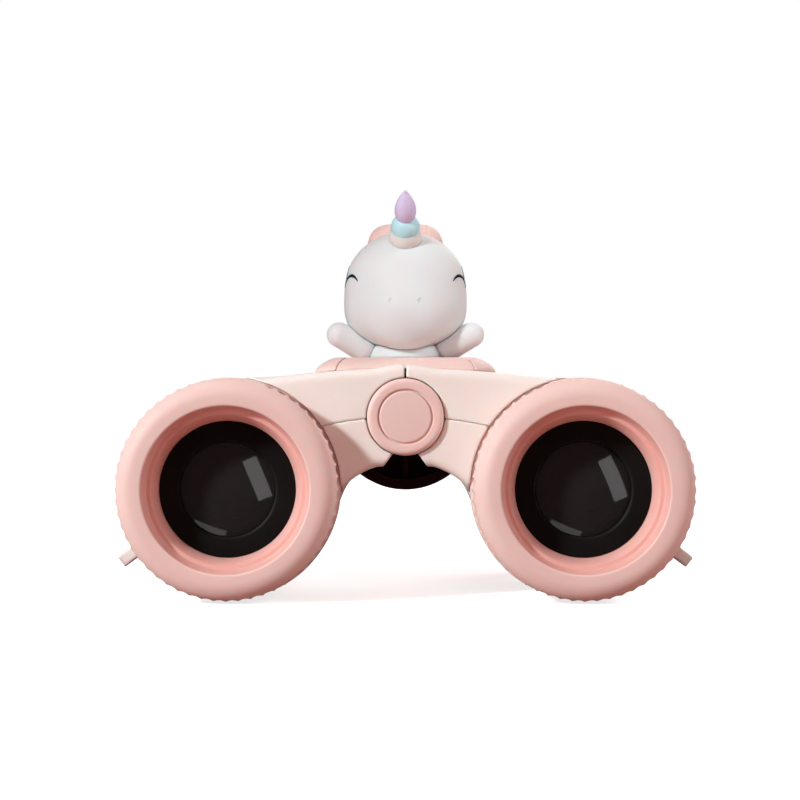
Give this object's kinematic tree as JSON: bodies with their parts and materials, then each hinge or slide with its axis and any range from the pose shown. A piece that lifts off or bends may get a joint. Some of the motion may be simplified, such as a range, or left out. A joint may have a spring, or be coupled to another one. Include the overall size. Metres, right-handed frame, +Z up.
{
  "type": "toy binoculars",
  "caption": "Toy binoculars with folding halves, a focus wheel, soft ribbed objective rings, rubber eyecups and a unicorn figure on the bridge.",
  "frame": {"origin": "centre of the bounding box at the level of the lowest points of the objective rings, halves fully open", "axes": "+X to the viewer's right seen from the objectives, +Y along the barrels from the objectives to the eyepieces, +Z up"},
  "size_m": [0.1256, 0.09, 0.0867],
  "materials": {
    "steel": "bare",
    "pink_plastic": "satin",
    "core_plastic": "satin",
    "white_vinyl": "satin",
    "pink_vinyl": "satin",
    "horn_peach": "satin",
    "horn_blue": "satin",
    "horn_purple": "satin",
    "wheel_plastic": "satin",
    "cream_plastic": "satin",
    "pink_rubber": "soft matte",
    "black_plastic": "satin",
    "lens_glass": "coated"
  },
  "bodies": {
    "core": {"hinge_pin": "steel", "hinge_cap": "pink_plastic", "cap_disc": "pink_plastic", "core_block": "core_plastic", "saddle": "pink_plastic", "saddle_panel": "pink_plastic", "saddle_screws": "steel", "trunk": "white_vinyl", "head": "white_vinyl", "mane": "pink_vinyl", "horn_base": "horn_peach", "horn_middle": "horn_blue", "horn_tip": "horn_purple", "left_hand": "white_vinyl", "right_hand": "white_vinyl", "tail": "pink_vinyl"},
    "focus_wheel": {"focus_wheel": "wheel_plastic", "wheel_keeper": "core_plastic"},
    "focus_spindle": {"focus_spindle": "steel", "spindle_cap": "pink_plastic"},
    "left_half": {"left_upper_shell": "cream_plastic", "left_lower_shell": "cream_plastic", "left_shell_screws": "steel", "left_objective_ring": "pink_rubber", "left_lens_cell": "black_plastic", "left_objective_lens": "lens_glass", "left_lens_retainer": "black_plastic", "left_prism_cage": "black_plastic", "left_prism": "lens_glass"},
    "left_eyepiece": {"left_eyepiece_tube": "black_plastic", "left_field_lens": "lens_glass", "left_eye_lens": "lens_glass", "left_eye_retainer": "black_plastic", "left_bridge_arm": "cream_plastic", "left_eyecup": "pink_rubber"},
    "right_half": {"right_upper_shell": "cream_plastic", "right_lower_shell": "cream_plastic", "right_shell_screws": "steel", "right_objective_ring": "pink_rubber", "right_lens_cell": "black_plastic", "right_objective_lens": "lens_glass", "right_lens_retainer": "black_plastic", "right_prism_cage": "black_plastic", "right_prism": "lens_glass"},
    "right_eyepiece": {"right_eyepiece_tube": "black_plastic", "right_field_lens": "lens_glass", "right_eye_lens": "lens_glass", "right_eye_retainer": "black_plastic", "right_bridge_arm": "cream_plastic", "right_eyecup": "pink_rubber"}
  },
  "joints": [
    {"name": "left_fold", "type": "hinge", "parent": "core", "child": "left_half", "pos_m": [0, 0, 0.0385], "axis": [0, -1, 0], "range_deg": [0, 18]},
    {"name": "right_fold", "type": "hinge", "parent": "core", "child": "right_half", "pos_m": [0, 0, 0.0385], "axis": [0, 1, 0], "range_deg": [0, 18]},
    {"name": "focus_turn", "type": "hinge", "parent": "core", "child": "focus_wheel", "pos_m": [0, 0, 0.0385], "axis": [0, 1, 0], "range_deg": [-180, 180]},
    {"name": "spindle_travel", "type": "slide", "parent": "core", "child": "focus_spindle", "axis": [0, 1, 0], "range_m": [-0.003, 0.003]},
    {"name": "left_focus", "type": "slide", "parent": "left_half", "child": "left_eyepiece", "axis": [0, 1, 0], "range_m": [-0.003, 0.003]},
    {"name": "right_focus", "type": "slide", "parent": "right_half", "child": "right_eyepiece", "axis": [0, 1, 0], "range_m": [-0.003, 0.003]}
  ],
  "couplings": [
    {"joint": "focus_turn", "follows": "spindle_travel", "rad_per_m": 1047.2},
    {"joint": "left_focus", "follows": "spindle_travel", "ratio": 1},
    {"joint": "right_focus", "follows": "spindle_travel", "ratio": 1}
  ]
}
